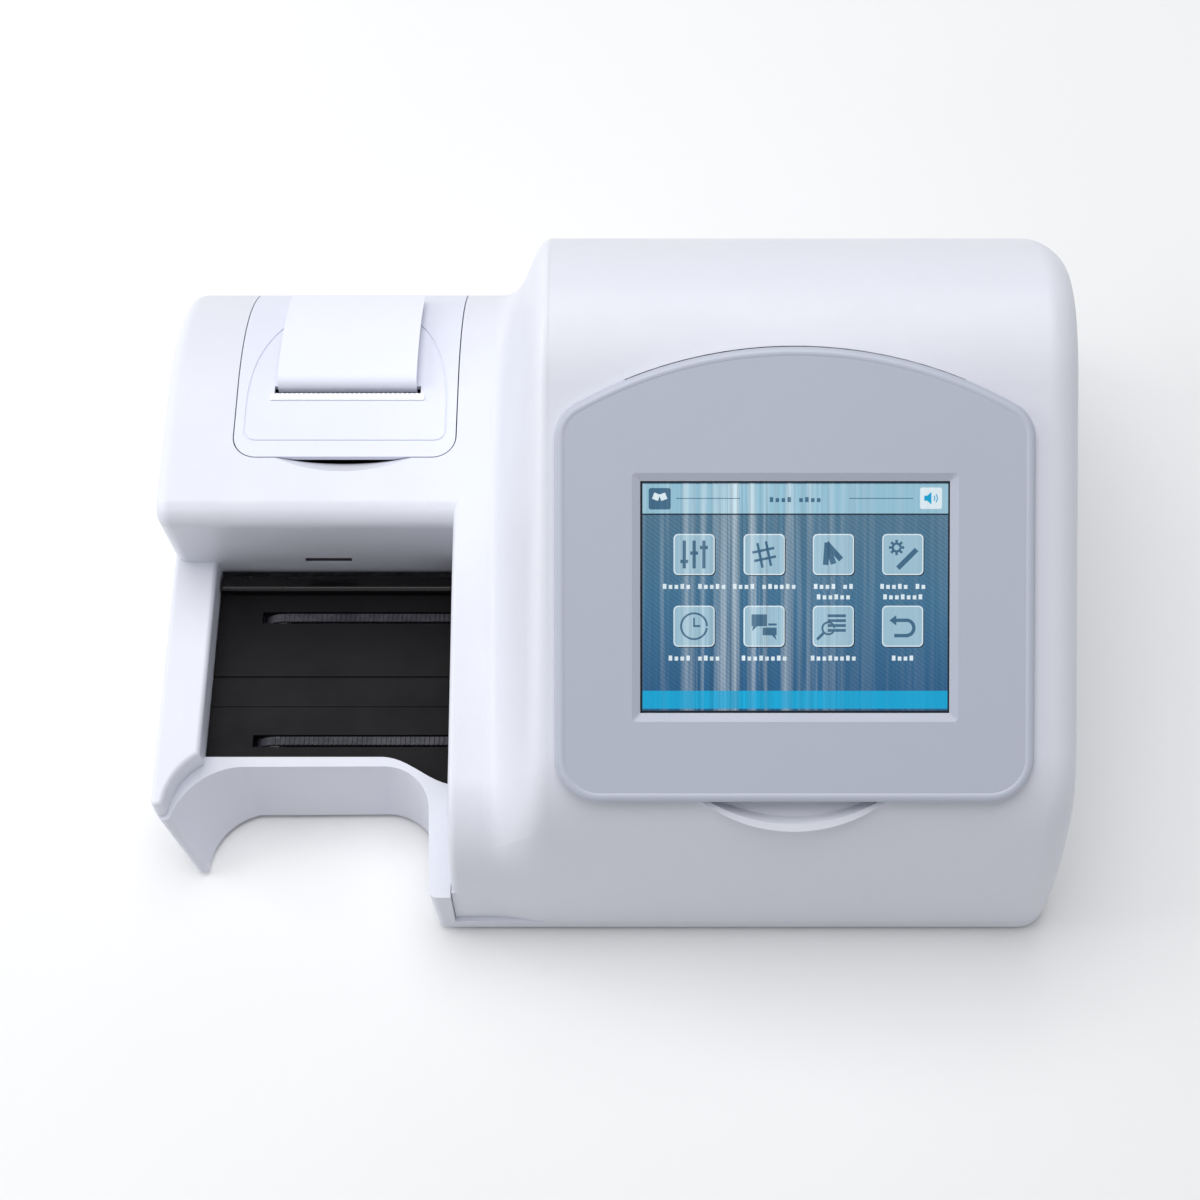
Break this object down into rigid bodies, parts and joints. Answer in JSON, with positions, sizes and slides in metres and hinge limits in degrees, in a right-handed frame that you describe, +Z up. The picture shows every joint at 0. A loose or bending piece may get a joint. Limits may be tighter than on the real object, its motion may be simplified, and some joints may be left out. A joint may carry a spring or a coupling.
{
  "type": "urine analyzer",
  "caption": "Bench-top test-strip reader: tilting touch display on a sloping hump, printer deck with hinged lid, open strip platform with belts, waste drawer.",
  "frame": {"origin": "middle of the footprint, on the bench under the feet", "axes": "+X to the right as the user sees it, +Y to the back, +Z up"},
  "size_m": [0.366, 0.283, 0.1952],
  "materials": {
    "housing": "fine texture, satin",
    "tub": "fine texture, satin",
    "lid_plastic": "fine texture, satin",
    "panel": "satin",
    "panel_back": "satin",
    "screen_glass": "clear",
    "lcd": "lit display",
    "platform": "semi-gloss black",
    "stop_bar": "polished black",
    "belt_rubber": "matte",
    "roller_rubber": "matte",
    "steel": "ground",
    "motor_steel": "satin",
    "gear_plastic": "satin",
    "frame_metal": "bent sheet",
    "head_plastic": "matte",
    "lens": "black anodised",
    "board": "solder mask",
    "paper": "thermal paper",
    "dark_window": "dark filter",
    "connector_plastic": "matte",
    "connector_metal": "nickel",
    "drawer_plastic": "satin"
  },
  "bodies": {
    "base": {"lower_housing": "tub", "upper_housing": "housing", "foot_front_left": "belt_rubber", "foot_back_left": "belt_rubber", "foot_front_right": "belt_rubber", "foot_back_right": "belt_rubber", "housing_screws": "steel", "tilt_pin": "steel", "printer_frame": "frame_metal", "printer_motor": "motor_steel", "print_head": "head_plastic", "strip_platform": "platform", "strip_stop_bar": "stop_bar", "front_belt": "belt_rubber", "back_belt": "belt_rubber", "belt_motor": "motor_steel", "rod_bracket_front": "frame_metal", "rod_bracket_back": "frame_metal", "guide_rod_left": "steel", "guide_rod_right": "steel", "head_motor": "motor_steel", "sensor_window": "dark_window", "main_board": "board", "rear_panel": "connector_plastic", "power_inlet": "connector_plastic", "switch_body": "connector_plastic", "serial_port": "connector_metal", "usb_port": "connector_metal"},
    "display": {"display_bezel": "panel", "touch_glass": "screen_glass", "lcd_module": "lcd", "display_back": "panel_back", "display_board": "board"},
    "lid": {"printer_lid": "lid_plastic", "tear_bar": "steel", "paper_strip": "paper"},
    "roll": {"paper_roll": "paper", "roll_spindle": "steel"},
    "platen": {"platen_roller": "roller_rubber", "platen_gear": "gear_plastic"},
    "pinion_printer": {"printer_pinion": "gear_plastic"},
    "idler": {"idler_roller": "steel"},
    "drive": {"drive_roller": "steel", "drive_gear": "gear_plastic"},
    "pinion_belt": {"drive_pinion": "gear_plastic"},
    "head": {"head_carriage": "head_plastic", "head_lens": "lens", "lamp_board": "board"},
    "screw": {"lead_screw": "steel"},
    "drawer": {"waste_drawer": "drawer_plastic"},
    "rocker": {"power_rocker": "connector_plastic"}
  },
  "joints": [
    {"name": "display_tilt", "type": "hinge", "parent": "base", "child": "display", "pos_m": [0.0734, 0.01664, 0.18876], "axis": [-1, 0, 0], "range_deg": [0, 30]},
    {"name": "lid_hinge", "type": "hinge", "parent": "base", "child": "lid", "pos_m": [-0.1071, 0.12819, 0.05882], "axis": [-1, 0, 0], "range_deg": [0, 80]},
    {"name": "roll_turn", "type": "hinge", "parent": "base", "child": "roll", "pos_m": [-0.1071, 0.092, 0.062], "axis": [1, 0, 0], "continuous": true},
    {"name": "platen_turn", "type": "hinge", "parent": "base", "child": "platen", "pos_m": [-0.1071, 0.06, 0.09], "axis": [1, 0, 0], "continuous": true},
    {"name": "printer_pinion_turn", "type": "hinge", "parent": "base", "child": "pinion_printer", "pos_m": [-0.1527, 0.06, 0.0781], "axis": [1, 0, 0], "continuous": true},
    {"name": "drive_turn", "type": "hinge", "parent": "base", "child": "drive", "pos_m": [0.06, -0.045, 0.0297], "axis": [0, 1, 0], "continuous": true},
    {"name": "idler_turn", "type": "hinge", "parent": "base", "child": "idler", "pos_m": [-0.137, -0.045, 0.0297], "axis": [0, 1, 0], "continuous": true},
    {"name": "belt_pinion_turn", "type": "hinge", "parent": "base", "child": "pinion_belt", "pos_m": [0.08, 0.011, 0.0297], "axis": [0, 1, 0], "continuous": true},
    {"name": "head_slide", "type": "slide", "parent": "base", "child": "head", "axis": [0, -1, 0], "range_m": [0, 0.07]},
    {"name": "screw_turn", "type": "hinge", "parent": "base", "child": "screw", "pos_m": [0.01, -0.045, 0.076], "axis": [0, -1, 0], "range_deg": [0, 3160]},
    {"name": "drawer_slide", "type": "slide", "parent": "base", "child": "drawer", "axis": [1, 0, 0], "range_m": [0, 0.08]},
    {"name": "power_rock", "type": "hinge", "parent": "base", "child": "rocker", "pos_m": [0.092, 0.1303, 0.037], "axis": [1, 0, 0], "range_deg": [-8, 8]}
  ],
  "couplings": [
    {"joint": "idler_turn", "follows": "drive_turn", "ratio": 1},
    {"joint": "belt_pinion_turn", "follows": "drive_turn", "ratio": -2.3333},
    {"joint": "printer_pinion_turn", "follows": "platen_turn", "ratio": -2.4},
    {"joint": "screw_turn", "follows": "head_slide", "rad_per_m": 785.4}
  ]
}
